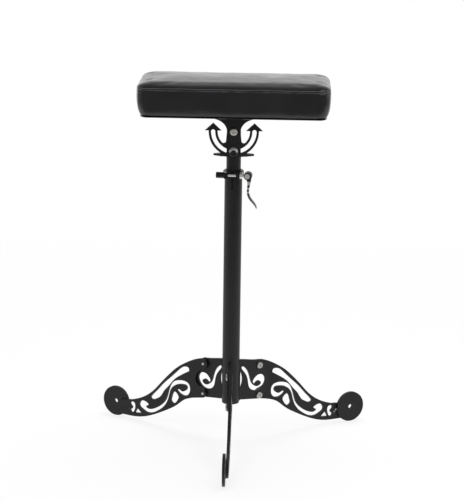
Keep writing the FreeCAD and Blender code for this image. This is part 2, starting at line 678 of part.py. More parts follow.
# Lock bolt through the arc slot: a wide washer under its head, its nut against the ear
bolt("tilt_lock", "lock_level", "lock_bolt_radius", "lock_head_radius", "lock_head", "lock_head_round",
     "washer_thickness", "0")
washer("tilt_lock", "lock_level", "lock_bolt_radius", "lock_washer_radius",
       "anchor_front - running_gap - washer_thickness")
nut("tilt_lock", "lock_level", "lock_bolt_radius", "lock_nut_flat_radius", "ear_back")

# Anchor plate: shank, arms with an arc slot round the pivot, arrow heads, flat foot and flared top
inner, outer = size("anchor_inner"), size("anchor_outer")
shank_half, foot_half = size("shank_half_width"), size("foot_half_width")
notch, notch_z = size("notch_radius"), -size("notch_depth")
notch_x = math.sqrt((inner - notch) ** 2 - notch_z ** 2)
notch_angle = math.degrees(math.atan2(notch_z, notch_x))
arrow_x, base, half = size("slot_radius"), size("arrow_base"), size("arrow_half_width")
flare_x, flare_z = size("flare_half_width"), size("flare_rise")
bar_x, bar_z = size("bar_half_width"), size("bar_top")
foot_angle = math.degrees(math.asin(foot_half / outer))


def mirrored(points):
    return [(-x, z) for x, z in points]


def flare(side):
    """A quarter of an ellipse from the shank out to the top bar."""
    steps = [math.radians(90 * share / 6) for share in range(7)]
    return [(side * (flare_x - (flare_x - shank_half) * math.cos(a)), flare_z * math.sin(a)) for a in steps]


arrow = [(outer, 0), (outer, base), (arrow_x + half, base), (arrow_x, base + size("arrow_height")),
         (arrow_x - half, base), (inner, base), (inner, 0)]
shank_side = [(shank_half, 0), (notch_x - notch, notch_z)]
top_bar = [(flare_x, flare_z), (bar_x, flare_z), (bar_x, bar_z), (-bar_x, bar_z), (-bar_x, flare_z),
           (-flare_x, flare_z)]
foot = [(-foot_half, -math.sqrt(outer ** 2 - foot_half ** 2)), (-foot_half, -outer), (foot_half, -outer),
        (foot_half, -math.sqrt(outer ** 2 - foot_half ** 2))]
anchor_outline = straight(arrow) + straight(mirrored(arrow)) + straight(shank_side)
anchor_outline += straight(mirrored(shank_side)) + straight(top_bar) + straight(foot)
anchor_outline += [smooth(flare(1)), smooth(flare(-1)),
                   arc((0, 0), outer, -90 + foot_angle, 0), arc((0, 0), outer, 180, 270 - foot_angle),
                   arc((0, 0), inner, notch_angle, 0), arc((0, 0), inner, 180, 180 - notch_angle),
                   arc((notch_x, notch_z), notch, 180, 360 + notch_angle),
                   arc((-notch_x, notch_z), notch, 180 - notch_angle, 360)]
slot_end = size("slot_half_width")
arc_slot = [arc((0, 0), size("slot_outer"), 180, 360), arc((0, 0), size("slot_inner"), 180, 360),
            arc((arrow_x, 0), slot_end, 0, 180), arc((-arrow_x, 0), slot_end, 0, 180)]
anchor = plate("anchor_plate", "XZ_Plane", anchor_outline, "anchor_thickness",
               cuts=arc_slot + [ring((0, 0), size("bolt_radius") + size("bolt_gap"))])
node(anchor, "anchor_plate", None)
place(anchor, y="column_setback + anchor_back", z="pivot_level")


def rounded_rectangle(long_side, short_side, radius):
    """An outline with round corners, centred on the axis."""
    x, y = long_side / 2, short_side / 2
    sides = []
    for sign_x, sign_y, first in ((1, 1, 0), (-1, 1, 90), (-1, -1, 180), (1, -1, 270)):
        sides.append(arc((sign_x * (x - radius), sign_y * (y - radius)), radius, first, first + 90))
    sides += straight([(x - radius, y), (radius - x, y)]) + straight([(-x, y - radius), (-x, radius - y)])
    sides += straight([(radius - x, -y), (x - radius, -y)]) + straight([(x, radius - y), (x, y - radius)])
    return sides


# Pad plate, welded on the anchor plate's top bar
spots = [(sign_x * size("pad_screw_x"), sign_y * size("pad_screw_y"))
         for sign_x in (-1, 1) for sign_y in (-1, 1)]
node(plate("pad_plate", "XY_Plane",
           rounded_rectangle(size("pad_plate_length"), size("pad_plate_depth"), size("pad_plate_corner")),
           "pad_plate_thickness", offset="pad_plate_bottom",
           cuts=[ring(spot, size("pad_screw_radius")) for spot in spots]),
     "pad_plate")

# Plywood board with four tee nuts let into its upper face
board_length = size("pad_length") - 2 * size("board_inset")
board_depth = size("pad_depth") - 2 * size("board_inset")
board_corner = size("pad_corner") - size("board_inset")
board_blank = plate("board_blank", "XY_Plane",
                    rounded_rectangle(board_length, board_depth, board_corner),
                    "board_thickness", offset="pad_bottom",
                    cuts=[ring(spot, size("tee_barrel_radius")) for spot in spots])
tee_seats, tee_nuts, pad_screws = [], [], []
for number, (sign_x, sign_y) in enumerate(((-1, -1), (-1, 1), (1, -1), (1, 1)), start=1):
    spot_x, spot_y = "%d * pad_screw_x" % sign_x, "%d * pad_screw_y" % sign_y
    tee_seats.append(rod("tee_seat_%d" % number, "tee_flange_radius", "tee_flange + overrun", spot_x,
                         spot_y, "board_top - tee_flange"))
    tee_blank = joined("tee_blank_%d" % number,
                       rod("tee_flange_%d" % number, "tee_flange_radius", "tee_flange", spot_x, spot_y,
                           "board_top - tee_flange"),
                       rod("tee_barrel_%d" % number, "tee_barrel_radius", "tee_barrel", spot_x, spot_y,
                           "board_top - tee_flange - tee_barrel"))
    tee_nuts.append(cut("tee_nut_%d" % number, tee_blank,
                        rod("tee_thread_%d" % number, "pad_screw_radius",
                            "tee_flange + tee_barrel + 2 * overrun", spot_x, spot_y,
                            "board_top - tee_flange - tee_barrel - overrun")))
    pad_screws.append(joined("pad_screw_%d" % number,
                             rod("pad_screw_head_%d" % number, "pad_screw_head_radius", "pad_screw_head",
                                 spot_x, spot_y, "pad_plate_bottom - pad_screw_head"),
                             rod("pad_screw_shank_%d" % number, "pad_screw_radius",
                                 "pad_plate_thickness + board_thickness - tee_flange", spot_x, spot_y,
                                 "pad_plate_bottom")))
node(cut("pad_board", board_blank, *tee_seats), "pad_board")
node(grouped("pad_tee_nuts", *tee_nuts), "pad_tee_nuts")
node(grouped("pad_screws", *pad_screws), "pad_screws")

# Cushion: a smooth form through rounded sections, crowned on top, hollowed for the board
height, base_z = size("pad_height"), size("pad_bottom")
wires = []
for rise_share, inset_share in CUSHION_SHARES:
    inset = inset_share * height
    section = rounded_rectangle(size("pad_length") - 2 * inset, size("pad_depth") - 2 * inset,
                                max(size("pad_corner") - inset, size("board_inset") / 2))
    wire = Part.Wire(Part.__sortEdges__([curve.toShape() for curve in section]))
    wire.translate(FreeCAD.Vector(0, 0, base_z + rise_share * height))
    wires.append(wire)
form = Part.makeLoft(wires, True, True)
board_space = Part.Face(Part.Wire(Part.__sortEdges__(
    [curve.toShape() for curve in rounded_rectangle(board_length, board_depth, board_corner)])))
board_space = board_space.extrude(FreeCAD.Vector(0, 0, size("board_thickness") + size("overrun")))
board_space.translate(FreeCAD.Vector(0, 0, base_z - size("overrun")))
cushion = doc.addObject("Part::Feature", "cushion")
cushion.Shape = form.cut(board_space)
node(cushion, "cushion")

doc.recompute()

troubled = [thing.Label for thing in doc.Objects if "Invalid" in thing.State or "Error" in thing.State]
broken = [thing.Label for thing in NODES if thing.Shape.isNull() or not thing.Shape.isValid()]
if troubled or broken:
    raise RuntimeError("failed objects: %s, bad shapes: %s" % (troubled, broken))

os.makedirs("parts", exist_ok=True)
for thing in NODES:
    thing.Shape.exportStep("parts/%s.step" % thing.Label)
    box = thing.Shape.BoundBox
    print("%-20s solids %d volume %.0f  X %.1f %.1f  Y %.1f %.1f  Z %.1f %.1f" % (
        thing.Label, len(thing.Shape.Solids), thing.Shape.Volume, box.XMin, box.XMax, box.YMin, box.YMax,
        box.ZMin, box.ZMax))
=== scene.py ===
import math

import bmesh
import bpy
import numpy as np
from mathutils import Matrix, Vector, noise


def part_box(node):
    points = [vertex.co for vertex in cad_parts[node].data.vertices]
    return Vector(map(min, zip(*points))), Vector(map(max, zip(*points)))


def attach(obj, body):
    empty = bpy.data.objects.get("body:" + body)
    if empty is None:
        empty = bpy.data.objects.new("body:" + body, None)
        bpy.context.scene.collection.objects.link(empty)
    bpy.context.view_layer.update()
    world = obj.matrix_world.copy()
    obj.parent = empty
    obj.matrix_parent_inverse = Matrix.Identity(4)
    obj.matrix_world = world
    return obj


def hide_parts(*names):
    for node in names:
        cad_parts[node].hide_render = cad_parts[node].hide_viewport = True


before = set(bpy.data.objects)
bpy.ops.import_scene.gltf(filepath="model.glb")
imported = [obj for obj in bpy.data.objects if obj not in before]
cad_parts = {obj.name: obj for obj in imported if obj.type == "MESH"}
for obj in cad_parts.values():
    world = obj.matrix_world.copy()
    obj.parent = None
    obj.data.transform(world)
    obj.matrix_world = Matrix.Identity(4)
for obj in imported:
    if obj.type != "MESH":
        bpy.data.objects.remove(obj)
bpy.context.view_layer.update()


# Hub wings: three plates cut from 5 mm steel sheet, each welded edge-on to the foot of the column and
# coated with it. The coat is a baked satin black powder with a faint orange-peel skin. Along the cut
# edges its colour is painted paler, partly as thinner, rubbed coat and partly as a painted highlight.
def new_material(name):
    """A material that holds only its shader."""
    material = bpy.data.materials.new(name)
    material.use_nodes = True
    tree = material.node_tree
    tree.nodes.clear()
    output = tree.nodes.new("ShaderNodeOutputMaterial")
    shader = tree.nodes.new("ShaderNodeBsdfPrincipled")
    tree.links.new(shader.outputs["BSDF"], output.inputs["Surface"])
    return material, tree, shader


def feed(tree, node, inputs):
    """Links or sets a node's inputs, each by its name or number."""
    for socket, value in inputs.items():
        if isinstance(value, bpy.types.NodeSocket):
            tree.links.new(value, node.inputs[socket])
        else:
            node.inputs[socket].default_value = value


def add(tree, kind, inputs=None, **settings):
    """A new node with its settings and inputs."""
    node = tree.nodes.new(kind)
    for name, value in settings.items():
        setattr(node, name, value)
    feed(tree, node, inputs or {})
    return node


def spread(tree, value, low, high, to_low, to_high):
    """Maps a value from one range to another, clamped."""
    return add(tree, "ShaderNodeMapRange", {"Value": value, "From Min": low, "From Max": high,
                                            "To Min": to_low, "To Max": to_high}).outputs["Result"]


def blend_colours(tree, share, first, second):
    """Two colours mixed by a share."""
    mix = add(tree, "ShaderNodeMix", data_type="RGBA")
    feed(tree, mix, {0: share, 6: first, 7: second})
    return mix.outputs[2]


def shaded(colour, share=1.0):
    """A colour made darker or lighter, with its alpha."""
    return (*[channel * share for channel in colour], 1.0)


def work_out(tree, operation, *values):
    """The result of a sum on one or two values."""
    return add(tree, "ShaderNodeMath", dict(enumerate(values)), operation=operation).outputs["Value"]


def object_place(tree):
    """The place on the piece, in its own coordinates."""
    return add(tree, "ShaderNodeTexCoord").outputs["Object"]


def mottle(tree, place, scale, detail=2.0, distortion=0.0):
    """Uneven patches between 0 and 1: cloudy at a low scale, grainy at a high one."""
    return add(tree, "ShaderNodeTexNoise", {"Vector": place, "Scale": scale, "Detail": detail,
                                            "Distortion": distortion}).outputs["Fac"]


def rounded(tree, radius):
    """The surface's normal, with its edges rounded."""
    return add(tree, "ShaderNodeBevel", {"Radius": radius}, samples=4).outputs["Normal"]


def bumped(tree, strength, depth, height, normal=None, invert=False):
    """The surface's normal, roughened by a height."""
    bump = add(tree, "ShaderNodeBump", {"Strength": strength, "Distance": depth, "Height": height},
               invert=invert)
    if normal is not None:
        feed(tree, bump, {"Normal": normal})
    return bump.outputs["Normal"]


def coated_steel(name, coat, edge_rub_and_sheen, roughness, streaks=(1.0, 1.0, 1.0), shine=0.3):
    """Powder coat on steel: uneven gloss, orange-peel skin, edges painted paler, partly rubbed coat and
    partly a painted highlight.
    """
    material, tree, shader = new_material(name)
    place = object_place(tree)
    drawn = add(tree, "ShaderNodeMapping", {"Vector": place, "Scale": streaks}).outputs["Vector"]
    cloud = mottle(tree, drawn, scale=22.0, detail=5.0)
    peel = mottle(tree, place, scale=750.0)
    round_edge = rounded(tree, SHEET_EDGE_ROUND)
    flat = add(tree, "ShaderNodeNewGeometry").outputs["Normal"]
    turn = add(tree, "ShaderNodeVectorMath", {0: round_edge, 1: flat}, operation="DOT_PRODUCT")
    edge = spread(tree, turn.outputs["Value"], 0.99, 0.88, 0.0, 0.8)
    # The edges are painted paler: partly thinner, rubbed coat and partly a painted highlight where they catch
    # the light.
    sheen_share = work_out(tree, "MULTIPLY", edge, spread(tree, cloud, 0.35, 0.6, 0.2, 1.0))
    field = blend_colours(tree, spread(tree, cloud, 0.35, 0.65, 0.0, 1.0),
                          shaded(coat, 0.8), shaded(coat, 1.3))
    feed(tree, shader, {"Base Color": blend_colours(tree, sheen_share, field, shaded(edge_rub_and_sheen)),
                        "Roughness": spread(tree, cloud, 0.3, 0.7, roughness - 0.05, roughness + 0.07),
                        "Specular IOR Level": shine,
                        "Normal": bumped(tree, strength=0.25, depth=0.00015, height=peel, normal=round_edge)})
    return material


def dress(material, *nodes):
    """Gives CAD nodes a material."""
    for node in nodes:
        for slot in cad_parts[node].material_slots:
            slot.material = material


LEGS = {"front": -90.0, "right": 30.0, "left": 150.0}
SHEET_EDGE_ROUND = 0.0007
PLATE_BLACK = (0.0115, 0.0118, 0.0122)
# Paler colour of the coat's edges: partly rubbed coat, partly a painted highlight.
EDGE_RUB_AND_SHEEN = (0.030, 0.030, 0.031)
plate_coat = coated_steel("plate_coat", PLATE_BLACK, EDGE_RUB_AND_SHEEN, 0.42)
dress(plate_coat, *["hub_wing_" + side for side in LEGS])

# Leg plates: 6 mm steel sheet, laser cut in one piece with their scrolls, drops and slots, coated on
# their own before they are screwed to the wings.
LEG_BLACK = (0.0088, 0.0090, 0.0094)
leg_coat = coated_steel("leg_coat", LEG_BLACK, EDGE_RUB_AND_SHEEN, 0.42)
dress(leg_coat, *["leg_plate_" + side for side in LEGS])

# Foot discs: round 6 mm plates that stand on their rims, each with a hole through its middle, lapped on
# the leg's tail and coated with the leg.
dress(leg_coat, *["foot_disc_" + side for side in LEGS])

# Column tube with its plug: 38 mm drawn steel tube, slit down the front of its upper end. Its coat lies
# in long faint streaks. The plug is moulded black plastic, knocked into the lower end, and the two
# bushes in which the mast runs are of the same plastic.
TUBE_BLACK = (0.0120, 0.0122, 0.0126)
COLUMN_STREAKS = (1.0, 1.0, 0.12)
tube_coat = coated_steel("tube_coat", TUBE_BLACK, EDGE_RUB_AND_SHEEN, 0.36, streaks=COLUMN_STREAKS)
dress(tube_coat, "column_tube")


def moulded_plastic(name, colour, roughness):
    """Matt moulded plastic with a fine spark-eroded texture."""
    material, tree, shader = new_material(name)
    place = object_place(tree)
    grain = mottle(tree, place, scale=1600.0, detail=3.0)
    cloud = mottle(tree, place, scale=60.0)
    feed(tree, shader, {"Base Color": blend_colours(tree, cloud, shaded(colour, 0.8), shaded(colour, 1.25)),
                        "Roughness": spread(tree, grain, 0.3, 0.7, roughness - 0.06, roughness + 0.06),
                        "Normal": bumped(tree, strength=0.3, depth=0.0001, height=grain)})
    return material


plastic = moulded_plastic("bush_plastic", (0.012, 0.012, 0.012), 0.5)
dress(plastic, "column_plug", "column_bush", "guide_bush")

# Welds at the column's foot: a bead down each side of each wing, laid by hand in short overlapping
# ripples and coated over with the rest.
BEAD_SEED = 7


def bead_row_tree():
    """Geometry Nodes that lay rounded beads along lines, each turned along the line and outwards."""
    tree = bpy.data.node_groups.new("bead_row", "GeometryNodeTree")
    inputs = (("Lines", "NodeSocketGeometry"), ("Pitch", "NodeSocketFloat"),
              ("Half length", "NodeSocketFloat"), ("Half width", "NodeSocketFloat"),
              ("Half height", "NodeSocketFloat"), ("Unevenness", "NodeSocketFloat"),
              ("Fineness", "NodeSocketInt"), ("Finish", "NodeSocketMaterial"))
    for name, kind in inputs:
        tree.interface.new_socket(name, in_out="INPUT", socket_type=kind)
    tree.interface.new_socket("Beads", in_out="OUTPUT", socket_type="NodeSocketGeometry")
    given = add(tree, "NodeGroupInput").outputs
    curve = add(tree, "GeometryNodeMeshToCurve", {"Mesh": given["Lines"]}).outputs["Curve"]
    row = add(tree, "GeometryNodeResampleCurve", {"Curve": curve, "Length": given["Pitch"]}, mode="LENGTH")
    tangent = add(tree, "GeometryNodeInputTangent").outputs["Tangent"]
    outwards = add(tree, "GeometryNodeInputNamedAttribute", {"Name": "outwards"}, data_type="FLOAT_VECTOR")
    along = add(tree, "FunctionNodeAlignRotationToVector", {"Vector": tangent}, axis="X")
    turned = add(tree, "FunctionNodeAlignRotationToVector",
                 {"Rotation": along.outputs["Rotation"], "Vector": outwards.outputs["Attribute"]},
                 axis="Z", pivot_axis="X")
    shape = add(tree, "ShaderNodeCombineXYZ", {"X": given["Half length"], "Y": given["Half width"],
                                               "Z": given["Half height"]}).outputs["Vector"]
    least = work_out(tree, "SUBTRACT", 1.0, given["Unevenness"])
    most = work_out(tree, "ADD", 1.0, given["Unevenness"])
    chance = add(tree, "FunctionNodeRandomValue", {"Seed": BEAD_SEED}, data_type="FLOAT")
    feed(tree, chance, {2: least, 3: most})
    sized = add(tree, "ShaderNodeVectorMath", {0: shape, "Scale": chance.outputs[1]}, operation="SCALE")
    bead = add(tree, "GeometryNodeMeshIcoSphere", {"Radius": 1.0, "Subdivisions": given["Fineness"]})
    laid = add(tree, "GeometryNodeInstanceOnPoints",
               {"Points": row.outputs["Curve"], "Instance": bead.outputs["Mesh"],
                "Rotation": turned.outputs["Rotation"], "Scale": sized.outputs["Vector"]})
    solid = add(tree, "GeometryNodeRealizeInstances", {"Geometry": laid.outputs["Instances"]})
    smooth = add(tree, "GeometryNodeSetShadeSmooth", {0: solid.outputs["Geometry"]})
    finished = add(tree, "GeometryNodeSetMaterial",
                   {"Geometry": smooth.outputs[0], "Material": given["Finish"]})
    add(tree, "NodeGroupOutput", {"Beads": finished.outputs["Geometry"]})
    return tree


bead_row = bead_row_tree()


def grow(name, tree, runs, closed, inputs):
    """Runs a Geometry Nodes tree on lines of (place, outwards) and keeps what it makes as a plain mesh."""
    places, faces_out, edges = [], [], []
    for run in runs:
        first = len(places)
        places += [place for place, _ in run]
        faces_out += [outwards for _, outwards in run]
        edges += [(i, i + 1) for i in range(first, len(places) - 1)]
        if closed:
            edges.append((len(places) - 1, first))
    lines = bpy.data.meshes.new(name + "_lines")
    lines.from_pydata(places, edges, [])
    stored = lines.attributes.new("outwards", "FLOAT_VECTOR", "POINT")
    stored.data.foreach_set("vector", [number for outwards in faces_out for number in outwards])
    piece = bpy.data.objects.new(name, lines)
    bpy.context.scene.collection.objects.link(piece)
    modifier = piece.modifiers.new("grow", "NODES")
    modifier.node_group = tree
    for item in tree.interface.items_tree:
        if item.name in inputs:
            modifier[item.identifier] = inputs[item.name]
    depsgraph = bpy.context.evaluated_depsgraph_get()
    made = bpy.data.meshes.new_from_object(piece.evaluated_get(depsgraph), depsgraph=depsgraph)
    piece.modifiers.remove(modifier)
    piece.data = made
    return piece


RIPPLE_PITCH = 0.75
RIPPLE_HALF_LENGTH = 0.9


def weld(name, runs, closed, radius, body):
    """A row of ripples along the corner between two steel pieces."""
    piece = grow(name, bead_row, runs, closed,
                 {"Pitch": radius * RIPPLE_PITCH, "Half length": radius * RIPPLE_HALF_LENGTH,
                  "Half width": radius, "Half height": radius, "Unevenness": 0.08, "Fineness": 2,
                  "Finish": weld_coat})
    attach(piece, body)


WELD_BLACK = (0.009, 0.009, 0.0095)
COLUMN_RADIUS = 0.019
WING_THICKNESS = 0.005
WELD_RADIUS = 0.0021
weld_coat = coated_steel("weld_coat", WELD_BLACK, EDGE_RUB_AND_SHEEN, 0.38)
column_low, column_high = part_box("column_tube")
column_axis = Vector((0.0, (column_low.y + column_high.y) / 2, 0.0))


def on_leg(side, reach, across, height):
    """A place by a leg: out from the column's axis, across to the wing's side, and up."""
    angle = math.radians(LEGS[side])
    out = Vector((math.cos(angle), math.sin(angle), 0))
    wing_side = Vector((math.sin(angle), -math.cos(angle), 0))
    return column_axis + out * reach + wing_side * across + Vector((0, 0, height))


wing_runs = []
for side in LEGS:
    wing_low, wing_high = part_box("hub_wing_" + side)
    heights = (wing_low.z + WELD_RADIUS * 2, wing_high.z - WELD_RADIUS * 1.5)
    outwards = on_leg(side, 1, 0, 0) - column_axis
    for across in (-WELD_RADIUS / 3, WING_THICKNESS + WELD_RADIUS / 3):
        reach = math.sqrt(COLUMN_RADIUS ** 2 - across ** 2) + WELD_RADIUS / 6
        wing_runs.append([(on_leg(side, reach, across, height), outwards) for height in heights])
weld("wing_welds", wing_runs, False, WELD_RADIUS, "base")

# Welds at the feet: a bead round the end of the leg's tail where it laps its disc, laid on the side that
# faces the leg, from below the tail to above it.
TAIL_REACH = 0.2755
TAIL_HEIGHT = 0.0262
TAIL_RADIUS = 0.0196
TAIL_WELD = 0.0014
OFF_DISC = 0.0004
tail_runs = []
for side in LEGS:
    facing = on_leg(side, 0, -1, 0) - column_axis
    run = []
    for degrees in range(-64, 53, 4):
        angle = math.radians(degrees)
        reach = TAIL_REACH + TAIL_RADIUS * math.cos(angle)
        height = TAIL_HEIGHT + TAIL_RADIUS * math.sin(angle)
        run.append((on_leg(side, reach, -OFF_DISC, height), facing))
    tail_runs.append(run)
weld("foot_welds", tail_runs, False, TAIL_WELD, "base")


# Leg screws and the head's bolts: button heads with a hexagon socket, plated bright. Turning leaves
# fine rings round the head's bolts, and handling leaves faint scratches.
def about_centre(tree, place, centre):
    """The place as measured from a centre."""
    return add(tree, "ShaderNodeMapping", {"Vector": place, "Location": -Vector(centre)}).outputs["Vector"]


def bright_steel(name, colour, roughness, centre=None):
    """Plated steel with fine scratches, and turned rings round a centre where one is given."""
    material, tree, shader = new_material(name)
    place = object_place(tree)
    scratched = add(tree, "ShaderNodeMapping", {"Vector": place, "Rotation": (0.4, 0.7, 0.3),
                                                "Scale": (400.0, 400.0, 5000.0)}).outputs["Vector"]
    scratch = mottle(tree, scratched, scale=1.0, detail=3.0)
    cloud = mottle(tree, place, scale=160.0)
    height = scratch
    if centre is not None:
        about = about_centre(tree, place, centre)
        rings = add(tree, "ShaderNodeTexWave", {"Vector": about, "Scale": 500.0, "Distortion": 0.6},
                    wave_type="RINGS", rings_direction="Y").outputs["Fac"]
        height = work_out(tree, "ADD", scratch, rings)
    round_edge = rounded(tree, HEAD_EDGE_ROUND)
    feed(tree, shader, {"Base Color": blend_colours(tree, cloud, shaded(colour, 0.9), shaded(colour)),
                        "Metallic": 1.0,
                        "Roughness": spread(tree, scratch, 0.3, 0.7, roughness, roughness + 0.12),
                        "Normal": bumped(tree, strength=0.12, depth=0.0001, height=height,
                                         normal=round_edge)})
    return material


HEAD_EDGE_ROUND = 0.0004
SCREW_GREY = (0.44, 0.43, 0.42)
screw_plating = bright_steel("screw_plating", SCREW_GREY, 0.22)
dress(screw_plating, *["leg_screws_" + side for side in LEGS])

# Quick clamp: a gloss black steel collar round the column's top, a plated rod and washer, a blackened
# nut, and a cam lever of black cast steel on a plated barrel. Bright metal is painted across the lever's
# neck in three places as highlights, and its tip is painted paler towards the end as a painted highlight.
CLAMP_BLACK = (0.007, 0.007, 0.0085)
# Paler colour of the clamp's edges and chamfers: partly rubbed coat, partly painted glints.
CLAMP_EDGE_RUB_AND_SHEEN = (0.06, 0.06, 0.065)
gloss_coat = coated_steel("clamp_coat", CLAMP_BLACK, CLAMP_EDGE_RUB_AND_SHEEN, 0.24)
dress(gloss_coat, "clamp_collar", "clamp_nut")
CLAMP_BRIGHT = (0.92, 0.91, 0.89)
clamp_plating = bright_steel("clamp_plating", CLAMP_BRIGHT, 0.3)
dress(clamp_plating, "clamp_rod", "clamp_washer", "cam_barrel")
# Painted highlights: bright metal patches across the lever's neck, and a paler tip.
GLINT_METAL = (0.9, 0.9, 0.9)
GLINT_PLACES = ((0.223, 0.058), (0.384, 0.036), (0.503, 0.030))
GLINT_FADE = 0.6
TIP_FROM, TIP_HIGHLIGHT = 0.55, 0.25


def distance_from(tree, value, level):
    """How far a value is from a level, either way."""
    return work_out(tree, "ABSOLUTE", work_out(tree, "SUBTRACT", value, level))


def paint_highlight(tree, highlight_share, highlight_metal):
    """Paints bright metal in place of the coat's colour where a share is given, as a highlight, and returns
    the shader.
    """
    shader = [node for node in tree.nodes if node.type == "BSDF_PRINCIPLED"][0]
    coat = shader.inputs["Base Color"].links[0].from_socket
    feed(tree, shader, {"Base Color": blend_colours(tree, highlight_share, coat, shaded(highlight_metal))})
    return shader


def lever_steel(name, pin_level, tip_level):
    """The clamp's gloss coat, with bright metal painted as highlights at (place, half length) as shares of
    the way from pin to tip, and a paler tip.
    """
    material = coated_steel(name, CLAMP_BLACK, CLAMP_EDGE_RUB_AND_SHEEN, 0.16, shine=0.7)
    tree = material.node_tree
    height = add(tree, "ShaderNodeSeparateXYZ", {"Vector": object_place(tree)}).outputs["Z"]
    down = spread(tree, height, pin_level, tip_level, 0.0, 1.0)
    # Painted highlights: the tip is painted towards bright metal, and three bands of the neck are painted
    # bright metal, where the lever catches the light.
    highlight_share = spread(tree, down, TIP_FROM, 1.0, 0.0, TIP_HIGHLIGHT)
    for middle, half in GLINT_PLACES:
        patch = spread(tree, distance_from(tree, down, middle), half, half * GLINT_FADE, 0.0, 1.0)
        highlight_share = work_out(tree, "MAXIMUM", highlight_share, patch)
    feed(tree, paint_highlight(tree, highlight_share, GLINT_METAL), {"Metallic": highlight_share})
    return material


barrel_low, barrel_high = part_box("cam_barrel")
lever_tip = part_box("cam_lever")[0].z
dress(lever_steel("lever_coat", (barrel_low.z + barrel_high.z) / 2, lever_tip), "cam_lever")

# Mast: 31 mm steel tube that slides in the column, capped by the pointed crown plate on which the
# pivot ear stands. All three are welded together and coated in one go.
MAST_STREAKS = (1.0, 1.0, 0.2)
MAST_RADIUS = 0.0156
CROWN_WELD = 0.0019
RING_STEPS = 48
mast_coat = coated_steel("mast_coat", TUBE_BLACK, EDGE_RUB_AND_SHEEN, 0.38, streaks=MAST_STREAKS)
dress(mast_coat, "mast_tube")
dress(plate_coat, "crown_plate", "pivot_ear")
crown_low, crown_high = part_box("crown_plate")
ear_low, ear_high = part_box("pivot_ear")
under_crown = Vector((0, 0, crown_low.z - CROWN_WELD / 5))
mast_ring = []
for step in range(RING_STEPS):
    angle = math.tau * step / RING_STEPS
    out = Vector((math.cos(angle), math.sin(angle), 0))
    mast_ring.append((column_axis + out * (MAST_RADIUS + CROWN_WELD / 5) + under_crown, out))
weld("mast_weld", [mast_ring], True, CROWN_WELD, "mast")
ear_foot = [(Vector((x, ear_high.y + CROWN_WELD / 5, crown_high.z + CROWN_WELD / 5)), Vector((0, 1, 0)))
            for x in (ear_low.x + CROWN_WELD, ear_high.x - CROWN_WELD)]
weld("ear_weld", [ear_foot], False, CROWN_WELD, "mast")


# Pivot bolt and tilt lock: a plated M10 bolt through anchor plate and ear, and a blackened M8 bolt
# through the arc slot with a wide washer, each with its nut behind the ear. The lock bolt's upper rim
# carries a painted highlight, bright as if lit from above.
def bolt_middle(bolt):
    """The middle of a bolt's box, which lies on its axis."""
    low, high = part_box(bolt)
    return (low + high) / 2


def rim_lit_steel(name, centre, rim_highlight_colour, dark_colour, rim_start, rim_width):
    """Blackened steel, with a painted highlight on the upper rim of a head that turns about a centre."""
    material = bright_steel(name, dark_colour, 0.26, centre)
    tree = material.node_tree
    about = about_centre(tree, object_place(tree), centre)
    flat = add(tree, "ShaderNodeVectorMath", {0: about, 1: (1.0, 0.0, 1.0)}, operation="MULTIPLY")
    far = add(tree, "ShaderNodeVectorMath", {0: flat.outputs["Vector"]}, operation="LENGTH").outputs["Value"]
    upper = add(tree, "ShaderNodeSeparateXYZ", {"Vector": flat.outputs["Vector"]}).outputs["Z"]
    # Painted highlight: the head's upper rim is painted bright, as lit from above.
    rim = spread(tree, far, rim_start, rim_start + rim_width, 0.0, 1.0)
    above = spread(tree, upper, -rim_width, 2 * rim_width, 0.0, 1.0)
    paint_highlight(tree, work_out(tree, "MULTIPLY", rim, above), rim_highlight_colour)
    return material


PIVOT_BRIGHT = (0.76, 0.74, 0.70)
LOCK_RIM_HIGHLIGHT = (0.80, 0.79, 0.78)
LOCK_BLACK = (0.055, 0.055, 0.06)
LOCK_RIM_START, LOCK_RIM_WIDTH = 0.0050, 0.0012
dress(bright_steel("pivot_plating", PIVOT_BRIGHT, 0.2, bolt_middle("pivot_bolt")),
      "pivot_bolt", "pivot_nut", "pivot_washer", "tilt_lock_nut")
dress(rim_lit_steel("lock_blackening", bolt_middle("tilt_lock_bolt"), LOCK_RIM_HIGHLIGHT, LOCK_BLACK,
                 LOCK_RIM_START, LOCK_RIM_WIDTH), "tilt_lock_bolt", "tilt_lock_washer")

# Anchor plate: 5 mm sheet cut as an anchor, with the arc slot that sets the tilt. Its flat top bar is
# welded along both sides to the plate that carries the pad.
dress(plate_coat, "anchor_plate", "pad_plate")
PAD_WELD = 0.0022
BAR_END = 0.003
anchor_low, anchor_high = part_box("anchor_plate")
bar_ends = (anchor_low.x + BAR_END, anchor_high.x - BAR_END)
bar_level = anchor_high.z - PAD_WELD / 5
bar_runs = []
for y, out in ((anchor_low.y - PAD_WELD / 5, -1), (anchor_high.y + PAD_WELD / 5, 1)):
    bar_runs.append([(Vector((x, y, bar_level)), Vector((0, out, 0))) for x in bar_ends])
weld("pad_plate_welds", bar_runs, False, PAD_WELD, "head")

# Pad board: 12 mm plywood under the foam, screwed to the pad plate with four screws into tee nuts.
# It shows from below, inside the turned edge of the cover.
dress(screw_plating, "pad_screws", "pad_tee_nuts")
TWO_PLIES = 0.003
WOOD_DARK = (0.42, 0.27, 0.13)
WOOD_PALE = (0.62, 0.45, 0.26)
GLUE_BROWN = (0.16, 0.09, 0.04)


